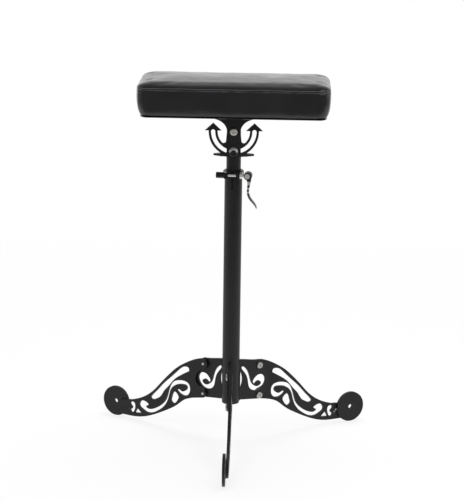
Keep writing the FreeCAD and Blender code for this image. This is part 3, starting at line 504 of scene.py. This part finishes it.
def plywood(name):
    """Birch plywood: long grain on the faces, thin dark glue lines on the edges."""
    material, tree, shader = new_material(name)
    place = object_place(tree)
    lengthwise = add(tree, "ShaderNodeMapping", {"Vector": place, "Scale": (3.0, 60.0, 60.0)})
    grain = mottle(tree, lengthwise.outputs["Vector"], scale=4.0, detail=8.0, distortion=0.6)
    height = add(tree, "ShaderNodeSeparateXYZ", {"Vector": place}).outputs["Z"]
    ply = work_out(tree, "SINE", work_out(tree, "MULTIPLY", height, math.tau / TWO_PLIES))
    wood = blend_colours(tree, spread(tree, grain, 0.3, 0.7, 0.0, 1.0), shaded(WOOD_DARK), shaded(WOOD_PALE))
    facing = add(tree, "ShaderNodeNewGeometry").outputs["Normal"]
    upright = work_out(tree, "ABSOLUTE", add(tree, "ShaderNodeSeparateXYZ", {"Vector": facing}).outputs["Z"])
    layered = work_out(tree, "MULTIPLY", spread(tree, ply, 0.6, 1.0, 0.0, 0.7),
                       spread(tree, upright, 0.2, 0.6, 1.0, 0.0))
    feed(tree, shader, {"Base Color": blend_colours(tree, layered, wood, shaded(GLUE_BROWN)),
                        "Roughness": spread(tree, grain, 0.3, 0.7, 0.55, 0.7),
                        "Normal": bumped(tree, strength=0.2, depth=0.0003, height=grain)})
    return material


dress(plywood("board_plywood"), "pad_board")

# Cushion cover: black coated cloth over firm foam. A flat side band is sewn to a crowned top panel,
# whose edge laps over the band and is topstitched just above the seam. The foam swells it a little.
# The profile is a list of (rise, inset) up the side, as shares of the pad's height.
COVER_PROFILE = [(0.000, 0.135), (0.050, 0.092), (0.120, 0.055), (0.260, 0.020), (0.420, 0.003),
                 (0.560, 0.000), (0.700, 0.004), (0.780, 0.013), (0.840, 0.026), (0.885, 0.046),
                 (0.915, 0.080), (0.935, 0.135), (0.950, 0.220), (0.966, 0.380), (0.984, 0.660),
                 (1.000, 1.000)]
COVER_CORNER = 0.028
LEAST_CORNER = 0.006
COVER_SLACK = 0.0008
COVER_MESH = 0.005
SEAM_SHARE = 0.757
STITCH_RISE = 0.0034
PRESSURE = 4.0
SWELL_CAP = 0.0016
SWELL_FRAMES = 20
HELD_FOOT = 0.008
HELD_SEAM, SEAM_HOLD = 0.003, 0.85
cover_low, cover_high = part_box("cushion")
pad_centre = (cover_low + cover_high) / 2
half_x = (cover_high.x - cover_low.x) / 2
half_y = (cover_high.y - cover_low.y) / 2
pad_height = cover_high.z - cover_low.z
seam_z = cover_low.z + SEAM_SHARE * pad_height


def level_ring(inset, z, steps=10):
    """A level ring round the pad, drawn in by an inset, as places and the ways out from it."""
    corner = max(COVER_CORNER - inset, LEAST_CORNER)
    ring = []
    for number, (sign_x, sign_y) in enumerate(((1, 1), (-1, 1), (-1, -1), (1, -1))):
        for step in range(steps + 1):
            angle = math.radians(90 * number + 90 * step / steps)
            out = Vector((math.cos(angle), math.sin(angle), 0))
            hub = Vector((sign_x * (half_x - inset - corner), sign_y * (half_y - inset - corner), z))
            ring.append((hub + Vector((pad_centre.x, pad_centre.y, 0)) + out * corner, out))
    return ring


def cover_form():
    """The foam's closed form, a little smaller than the finished pad."""
    body = bmesh.new()
    rings = []
    for rise, inset in COVER_PROFILE:
        z = cover_low.z + COVER_SLACK * 0.5 + rise * (pad_height - COVER_SLACK * 1.6)
        ring = level_ring(inset * pad_height + COVER_SLACK, z)
        rings.append([body.verts.new(place) for place, _ in ring])
    for lower, upper in zip(rings, rings[1:]):
        for i in range(len(lower)):
            j = (i + 1) % len(lower)
            body.faces.new((lower[i], lower[j], upper[j], upper[i]))
    body.faces.new(list(reversed(rings[0])))
    body.faces.new(rings[-1])
    bmesh.ops.recalc_face_normals(body, faces=body.faces)
    mesh = bpy.data.meshes.new("cushion_cover")
    body.to_mesh(mesh)
    body.free()
    piece = bpy.data.objects.new("cushion_cover", mesh)
    bpy.context.scene.collection.objects.link(piece)
    return piece


def settle(piece):
    """Replaces a piece's mesh by what its modifiers make, and removes them."""
    depsgraph = bpy.context.evaluated_depsgraph_get()
    made = bpy.data.meshes.new_from_object(piece.evaluated_get(depsgraph), depsgraph=depsgraph)
    piece.modifiers.clear()
    piece.data = made


def places_of(mesh):
    """A mesh's vertices as rows of numbers."""
    numbers = np.zeros(len(mesh.vertices) * 3)
    mesh.vertices.foreach_get("co", numbers)
    return numbers.reshape(-1, 3)


def move_to(mesh, places):
    """Puts a mesh's vertices at new places."""
    mesh.vertices.foreach_set("co", places.ravel())
    mesh.update()


def relax(piece, rounds):
    """Smooths a piece's mesh a few times over."""
    smoother = piece.modifiers.new("smooth", "SMOOTH")
    smoother.factor = 0.5
    smoother.iterations = rounds
    settle(piece)


def swell(piece, pressure, cap):
    """Lets cloth simulation blow the cover out from its foam, by no more than a cap anywhere."""
    start = places_of(piece.data)
    held = piece.vertex_groups.new(name="held")
    foot = [i for i, place in enumerate(start) if place[2] < cover_low.z + HELD_FOOT]
    seam = [i for i, place in enumerate(start) if abs(place[2] - seam_z) < HELD_SEAM]
    held.add(foot, 1.0, "REPLACE")
    held.add(seam, SEAM_HOLD, "REPLACE")
    cloth = piece.modifiers.new("cloth", "CLOTH")
    cloth.settings.use_pressure = True
    cloth.settings.uniform_pressure_force = pressure
    cloth.settings.effector_weights.gravity = 0.0
    cloth.settings.vertex_group_mass = "held"
    cloth.settings.bending_stiffness = 2.0
    cloth.point_cache.frame_start = 1
    cloth.point_cache.frame_end = SWELL_FRAMES
    for step in range(1, SWELL_FRAMES + 1):
        bpy.context.scene.frame_set(step)
    settle(piece)
    bpy.context.scene.frame_set(1)
    moved = places_of(piece.data) - start
    far = np.linalg.norm(moved, axis=1, keepdims=True)
    move_to(piece.data, start + moved * np.minimum(1.0, cap / np.maximum(far, 1e-9)))
    piece.vertex_groups.clear()


cover = cover_form()
remesh = cover.modifiers.new("remesh", "REMESH")
remesh.mode = "VOXEL"
remesh.voxel_size = COVER_MESH
settle(cover)
relax(cover, 2)
swell(cover, PRESSURE, SWELL_CAP)
relax(cover, 3)
finer = cover.modifiers.new("finer", "SUBSURF")
finer.levels = finer.render_levels = 1
settle(cover)

# The seam: loops are cut into the cover at the seam and at the row of stitches, the top panel's edge is
# lifted by its own thickness over the band, and the stitches draw it in again.
SEAM_LOOPS = (-0.0055, -0.0034, -0.0018, -0.0006, 0.0001)
STITCH_LOOPS = (-0.0009, 0.0, 0.0009)
LAP = 0.0010
LAP_FLAT, LAP_FADE = 0.006, 0.012
BAND_ROLL = 0.0007
ROLL_DROP, ROLL_WIDTH = 0.0034, 0.0024
NICK_SHARE, NICK_WIDTH = 1.2, 0.0012
STITCH_PULL, STITCH_PULL_WIDTH = 0.0005, 0.0007
SEAM_REACH = 0.011
SEAM_PUCKER = 0.0005
SEAM_WANDER = 0.0007
BROAD_HOLLOWS, SMALL_HOLLOWS = 0.0008, 0.0003
CORNER_SPAN, CORNER_RAMP = 0.05, 0.04
GATHER = 0.0011
GATHER_BELOW, GATHER_ABOVE = 0.03, 0.008
FOOT_HEIGHT, FOOT_SHARE = 0.004, 0.2
FOOT_CLEAR = 0.0004
stitch_z = seam_z + STITCH_RISE
sewn = bmesh.new()
sewn.from_mesh(cover.data)
for level in [seam_z + rise for rise in SEAM_LOOPS] + [stitch_z + rise for rise in STITCH_LOOPS]:
    bmesh.ops.bisect_plane(sewn, geom=sewn.verts[:] + sewn.edges[:] + sewn.faces[:], dist=1e-6,
                           plane_co=(0, 0, level), plane_no=(0, 0, 1))
sewn.to_mesh(cover.data)
sewn.free()


def nearness_to_corner(spot):
    """From 0 to 1 towards the pad's four corners."""
    share = 1.0
    for past_edge in (abs(spot.x - pad_centre.x) - half_x, abs(spot.y - pad_centre.y) - half_y):
        share *= max(0.0, min(1.0, (past_edge + CORNER_SPAN) / CORNER_RAMP))
    return share


def nearness_to_seam(spot):
    """1 at the seam, and less above and below it."""
    return math.exp(-abs(spot.z - seam_z) / SEAM_REACH)


def sewn_lift(spot):
    """How far the sewn cover stands off its smooth form: lap, roll, stitches, hollows and gathers."""
    rise = spot.z - seam_z
    if rise > 0:
        lift = LAP * max(0.0, 1 - max(0.0, rise - LAP_FLAT) / LAP_FADE)
        fold = math.exp(-rise / GATHER_ABOVE)
    else:
        roll = math.exp(-((rise + ROLL_DROP) / ROLL_WIDTH) ** 2)
        lift = BAND_ROLL * (roll - NICK_SHARE * math.exp(rise / NICK_WIDTH))
        fold = math.exp(rise / GATHER_BELOW)
    lift -= STITCH_PULL * math.exp(-((spot.z - stitch_z) / STITCH_PULL_WIDTH) ** 2)
    pucker = noise.noise(Vector((spot.x * 95, spot.y * 95, spot.z * 30)))
    lift += SEAM_PUCKER * nearness_to_seam(spot) * pucker
    broad = noise.noise(spot * 19)
    small = noise.noise(spot * 55 + Vector((3, 5, 7)))
    lift += BROAD_HOLLOWS * broad + SMALL_HOLLOWS * small
    gather = noise.noise(Vector((spot.x * 120, spot.y * 120, spot.z * 22)))
    lift += GATHER * nearness_to_corner(spot) * fold * gather
    return lift * FOOT_SHARE if spot.z < cover_low.z + FOOT_HEIGHT else lift


smooth_places = places_of(cover.data)
normals = np.zeros(len(cover.data.vertices) * 3)
cover.data.vertex_normals.foreach_get("vector", normals)
normals = normals.reshape(-1, 3)
stitch_row = [i for i, place in enumerate(smooth_places) if abs(place[2] - stitch_z) < 1e-5]
shaped = smooth_places.copy()
for i, place in enumerate(smooth_places):
    spot = Vector(place)
    moved = spot + Vector(normals[i]) * sewn_lift(spot)
    wander = noise.noise(Vector((spot.x * 25, spot.y * 25, 4.0)))
    moved.z += SEAM_WANDER * nearness_to_seam(spot) * wander
    shaped[i] = moved
shaped[:, 2] = np.maximum(shaped[:, 2], cover_low.z + FOOT_CLEAR)
move_to(cover.data, shaped)
for polygon in cover.data.polygons:
    polygon.use_smooth = True


# Reach of the painted highlight along the seam's fold.
SEAM_SHEEN_OUTER, SEAM_SHEEN_INNER = 0.0012, 0.0004


def coated_cloth(name, colour, roughness, sheen_level, sheen_colour):
    """Black coated cloth: leather grain, soft creases, uneven shine, and a painted highlight along the fold
    at its seam.
    """
    material, tree, shader = new_material(name)
    place = object_place(tree)
    wander = add(tree, "ShaderNodeTexNoise", {"Vector": place, "Scale": 90.0, "Detail": 2.0})
    bent = add(tree, "ShaderNodeVectorMath", {0: wander.outputs["Color"], "Scale": 0.0012}, operation="SCALE")
    bent = add(tree, "ShaderNodeVectorMath", {0: place, 1: bent.outputs["Vector"]}, operation="ADD")
    pebble = add(tree, "ShaderNodeTexVoronoi", {"Vector": bent.outputs["Vector"], "Scale": 820.0,
                                                "Smoothness": 0.6}, feature="SMOOTH_F1").outputs["Distance"]
    crease = mottle(tree, place, scale=38.0, detail=6.0, distortion=1.2)
    patch = mottle(tree, place, scale=16.0, detail=3.0)
    fine = bumped(tree, strength=0.3, depth=0.00009, height=pebble, invert=True)
    height = add(tree, "ShaderNodeSeparateXYZ", {"Vector": place}).outputs["Z"]
    # Painted highlight: a pale band along the fold at the seam, where it catches the light.
    off = distance_from(tree, height, sheen_level)
    sheen_share = work_out(tree, "MULTIPLY", spread(tree, off, SEAM_SHEEN_OUTER, SEAM_SHEEN_INNER, 0.0, 1.0),
                      spread(tree, crease, 0.35, 0.6, 0.25, 1.0))
    field = blend_colours(tree, spread(tree, patch, 0.35, 0.65, 0.0, 1.0),
                          shaded(colour, 0.75), shaded(colour, 1.35))
    feed(tree, shader, {"Base Color": blend_colours(tree, sheen_share, field, shaded(sheen_colour)),
                        "Roughness": spread(tree, patch, 0.3, 0.7, roughness - 0.04, roughness + 0.05),
                        "Specular IOR Level": 0.55,
                        "Normal": bumped(tree, strength=0.2, depth=0.0007, height=crease, normal=fine)})
    return material


COVER_BLACK = (0.0060, 0.0060, 0.0065)
# Colour of the painted highlight along the seam.
SEAM_SHEEN_GREY = (0.12, 0.12, 0.125)
cover_cloth = coated_cloth("cover_cloth", COVER_BLACK, 0.20, seam_z, SEAM_SHEEN_GREY)
cover.data.materials.append(cover_cloth)
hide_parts("cushion")
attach(cover, "head")

# Topstitching: one row of nylon thread through the lap of the top panel, all the way round. It follows
# the loop that was cut for it in the cover and lies a little proud of the cloth.
STITCH_PROUD = 0.0001
around = sorted(stitch_row, key=lambda i: math.atan2(shaped[i][1] - pad_centre.y,
                                                     shaped[i][0] - pad_centre.x))
stitch_line = [(Vector(shaped[i]) + Vector(normals[i]) * STITCH_PROUD, Vector(normals[i])) for i in around]


def sewing_thread(name, colour):
    """Twisted nylon thread with a slight shine."""
    material, tree, shader = new_material(name)
    twist = mottle(tree, object_place(tree), scale=2500.0)
    feed(tree, shader, {"Base Color": blend_colours(tree, twist, shaded(colour), shaded(colour, 1.8)),
                        "Roughness": 0.4, "Normal": bumped(tree, strength=0.5, depth=0.0001, height=twist)})
    return material


thread = sewing_thread("cover_thread", (0.14, 0.144, 0.165))
stitches = grow("cover_stitches", bead_row, [stitch_line], True,
                {"Pitch": 0.0042, "Half length": 0.0015, "Half width": 0.0006, "Half height": 0.00055,
                 "Unevenness": 0.05, "Fineness": 2, "Finish": thread})
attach(stitches, "head")

# Turned edge: under the board the cover is drawn in over the plywood and stapled, gathered in small
# pleats at the corners. Its profile is a list of (inset, rise) round the edge's section.
TURN_PROFILE = [(0.0085, 0.0016), (0.0100, 0.0001), (0.0135, -0.0007), (0.0240, -0.0008), (0.0310, -0.0007),
                (0.0330, -0.0002), (0.0330, 0.0004), (0.0240, 0.0004), (0.0130, 0.0010)]
TURN_STEPS = 24
RAW_EDGE_INSET = 0.03
RAW_EDGE_WANDER = 0.0009
STAPLED_SHARE = 0.3
PLEAT_DEPTH = 0.0004
PLEATS_ROUND = 36
turned = bmesh.new()
turn_verts = []
for inset, rise in TURN_PROFILE:
    wander_share = 1 if inset > RAW_EDGE_INSET else STAPLED_SHARE
    row = []
    for place, out in level_ring(inset, cover_low.z + rise, steps=TURN_STEPS):
        angle = math.atan2(out.y, out.x)
        at_corner = abs(math.sin(2 * angle))
        wander = RAW_EDGE_WANDER * noise.noise(place * 60) * wander_share
        pleat = 0.5 + 0.5 * math.cos(angle * PLEATS_ROUND)
        drop = -PLEAT_DEPTH * at_corner * pleat if rise < 0 else 0.0
        row.append(turned.verts.new(place + out * wander + Vector((0, 0, drop))))
    turn_verts.append(row)
for row, following in zip(turn_verts, turn_verts[1:] + turn_verts[:1]):
    for i in range(len(row)):
        j = (i + 1) % len(row)
        turned.faces.new((row[i], row[j], following[j], following[i]))
bmesh.ops.recalc_face_normals(turned, faces=turned.faces)
turned_mesh = bpy.data.meshes.new("cover_turned_edge")
turned.to_mesh(turned_mesh)
turned.free()
for polygon in turned_mesh.polygons:
    polygon.use_smooth = True
turned_mesh.materials.append(cover_cloth)
turned_edge = bpy.data.objects.new("cover_turned_edge", turned_mesh)
bpy.context.scene.collection.objects.link(turned_edge)
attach(turned_edge, "head")

# Staples: flat steel wire, driven every few centimetres through the turned edge into the board, all
# round the pad.
STAPLE_INSET = 0.026
STAPLE_DROP = 0.0009
staple_steel = bright_steel("staple_steel", (0.6, 0.6, 0.6), 0.3)
staple_level = cover_low.z - STAPLE_DROP
staple_line = [(place, Vector((0, 0, -1))) for place, _ in level_ring(STAPLE_INSET, staple_level)]
staples = grow("cover_staples", bead_row, [staple_line], True,
               {"Pitch": 0.024, "Half length": 0.005, "Half width": 0.0006, "Half height": 0.0004,
                "Unevenness": 0.0, "Fineness": 3, "Finish": staple_steel})
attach(staples, "head")

# Floor and backdrop: one pale sheet that runs back and curves up behind the stand. In front of the stand
# it fades to the room's grey and ends, so that the pad's front and the plates don't mirror a white floor.
SWEEP = 1.2
SWEEP_START = 5.0
WALL_TOP = 6.0
FLOOR_STEPS = (-0.8, -0.5, 1.0, 3.0, SWEEP_START)
HALF_WIDTH = 2.8
WIDENING = 0.4
WIDENS_FROM = 1.0
FADE_FROM, FADE_TO = -0.75, -0.5
GLOW_FROM, GLOW_TO = 0.5, 2.2
NEAR_GLOW = 0.8
WHITE = (1.0, 1.0, 1.0)
PAPER_WHITE = (0.9, 0.9, 0.9)
PAPER_PALE = (0.86, 0.86, 0.86)
FRONT_GREY = (0.41, 0.41, 0.41)
sweep_points = [(y, 0.0) for y in FLOOR_STEPS]
for degrees in range(10, 91, 10):
    angle = math.radians(degrees)
    sweep_points.append((SWEEP_START + SWEEP * math.sin(angle), SWEEP * (1 - math.cos(angle))))
sweep_points += [(SWEEP_START + SWEEP, z) for z in (2.5, WALL_TOP)]
sweep_verts = []
for y, z in sweep_points:
    half_width = HALF_WIDTH + WIDENING * max(0.0, y - WIDENS_FROM)
    sweep_verts += [(-half_width, y, z), (half_width, y, z)]
sweep_faces = [(2 * i, 2 * i + 1, 2 * i + 3, 2 * i + 2) for i in range(len(sweep_points) - 1)]
sweep_mesh = bpy.data.meshes.new("backdrop")
sweep_mesh.from_pydata(sweep_verts, [], sweep_faces)
for polygon in sweep_mesh.polygons:
    polygon.use_smooth = True
backdrop = bpy.data.objects.new("backdrop", sweep_mesh)
bpy.context.scene.collection.objects.link(backdrop)


def backdrop_paper(name):
    """Pale paper that shows the eye, and what mirrors it, a white of its own behind the stand."""
    material = bpy.data.materials.new(name)
    material.use_nodes = True
    tree = material.node_tree
    tree.nodes.clear()
    place = object_place(tree)
    way_back = add(tree, "ShaderNodeSeparateXYZ", {"Vector": place}).outputs["Y"]
    near_stand = spread(tree, way_back, FADE_FROM, FADE_TO, 0.0, 1.0)
    pale = blend_colours(tree, mottle(tree, place, scale=2.0), shaded(PAPER_PALE), shaded(PAPER_WHITE))
    paper = add(tree, "ShaderNodeBsdfPrincipled",
                {"Base Color": blend_colours(tree, near_stand, shaded(FRONT_GREY), pale), "Roughness": 0.9})
    white = add(tree, "ShaderNodeEmission", {"Color": shaded(WHITE), "Strength": 1.0})
    ray = add(tree, "ShaderNodeLightPath").outputs
    seen = work_out(tree, "MAXIMUM", ray["Is Camera Ray"], ray["Is Glossy Ray"])
    seen = work_out(tree, "MAXIMUM", seen, ray["Is Transmission Ray"])
    seen = work_out(tree, "MULTIPLY", seen, spread(tree, way_back, GLOW_FROM, GLOW_TO, NEAR_GLOW, 1.0))
    seen = work_out(tree, "MULTIPLY", seen, near_stand)
    mixed = add(tree, "ShaderNodeMixShader", {0: seen, 1: paper.outputs["BSDF"],
                                              2: white.outputs["Emission"]})
    add(tree, "ShaderNodeOutputMaterial", {"Surface": mixed.outputs["Shader"]})
    return material


sweep_mesh.materials.append(backdrop_paper("backdrop_paper"))

# Light: an even pale room, brighter behind the stand than in front of it, and three soft boxes. The key
# and top boxes don't show in the gloss, so that the black surfaces keep their depth.
ROOM_FRONT = 0.32
ROOM_BACK = 0.95
BEHIND_FROM, BEHIND_TO = -0.3, 0.95
world = bpy.data.worlds.new("room")
bpy.context.scene.world = world
world.use_nodes = True
room = world.node_tree
room.nodes.clear()
way = add(room, "ShaderNodeSeparateXYZ", {"Vector": add(room, "ShaderNodeTexCoord").outputs["Generated"]})
room_level = spread(room, way.outputs["Y"], BEHIND_FROM, BEHIND_TO, ROOM_FRONT, ROOM_BACK)
glow = add(room, "ShaderNodeBackground", {"Color": shaded(WHITE), "Strength": room_level})
add(room, "ShaderNodeOutputWorld", {"Surface": glow.outputs["Background"]})


def soft_box(name, place, aim, width, height, power, in_gloss):
    """A rectangular soft light that faces a point."""
    lamp = bpy.data.lights.new(name, "AREA")
    lamp.shape = "RECTANGLE"
    lamp.size = width
    lamp.size_y = height
    lamp.energy = power
    box = bpy.data.objects.new(name, lamp)
    box.location = place
    box.rotation_euler = (Vector(aim) - Vector(place)).to_track_quat("-Z", "Y").to_euler()
    box.visible_glossy = in_gloss
    bpy.context.scene.collection.objects.link(box)


soft_box("key_light", (-1.3, -2.3, 2.7), (0, 0, 0.5), 3.2, 2.2, 36.0, in_gloss=False)
soft_box("fill_light", (1.9, -1.9, 2.3), (0, 0, 0.5), 2.2, 2.2, 18.0, in_gloss=True)
soft_box("top_light", (0.2, 0.7, 3.0), (0, 0, 0.4), 2.4, 1.8, 60.0, in_gloss=False)

# Camera: a long lens at standing height a few metres in front of the stand, looking down on it a little,
# as in the photograph.
EYE_DISTANCE = 4.2
EYE_HEIGHT = 1.399
EYE_SIDE = math.radians(1.6)
HEADING = math.radians(1.614)
DOWN = math.radians(13.03)
ROLL = math.radians(0.78)
FOCAL_PIXELS = 1998.4
IMAGE_HEIGHT = 500.0
SENSOR = 36.0
eye = column_axis + Vector((EYE_DISTANCE * math.sin(EYE_SIDE), -EYE_DISTANCE * math.cos(EYE_SIDE),
                            EYE_HEIGHT))
straight_up = Vector((0, 0, 1))
level_ahead = Vector((-math.sin(HEADING), math.cos(HEADING), 0))
ahead = level_ahead * math.cos(DOWN) - straight_up * math.sin(DOWN)
upwards = level_ahead * math.sin(DOWN) + straight_up * math.cos(DOWN)
rightwards = ahead.cross(upwards)
rightwards, upwards = (rightwards * math.cos(ROLL) + upwards * math.sin(ROLL),
                       upwards * math.cos(ROLL) - rightwards * math.sin(ROLL))
camera = bpy.data.objects.new("camera", bpy.data.cameras.new("camera"))
camera.data.sensor_width = SENSOR
camera.data.lens = FOCAL_PIXELS * SENSOR / IMAGE_HEIGHT
camera.data.clip_end = 100.0
camera.matrix_world = Matrix(((rightwards.x, upwards.x, -ahead.x, eye.x),
                              (rightwards.y, upwards.y, -ahead.y, eye.y),
                              (rightwards.z, upwards.z, -ahead.z, eye.z),
                              (0, 0, 0, 1)))
bpy.context.scene.collection.objects.link(camera)
bpy.context.scene.camera = camera
bpy.context.scene.view_settings.view_transform = "Standard"
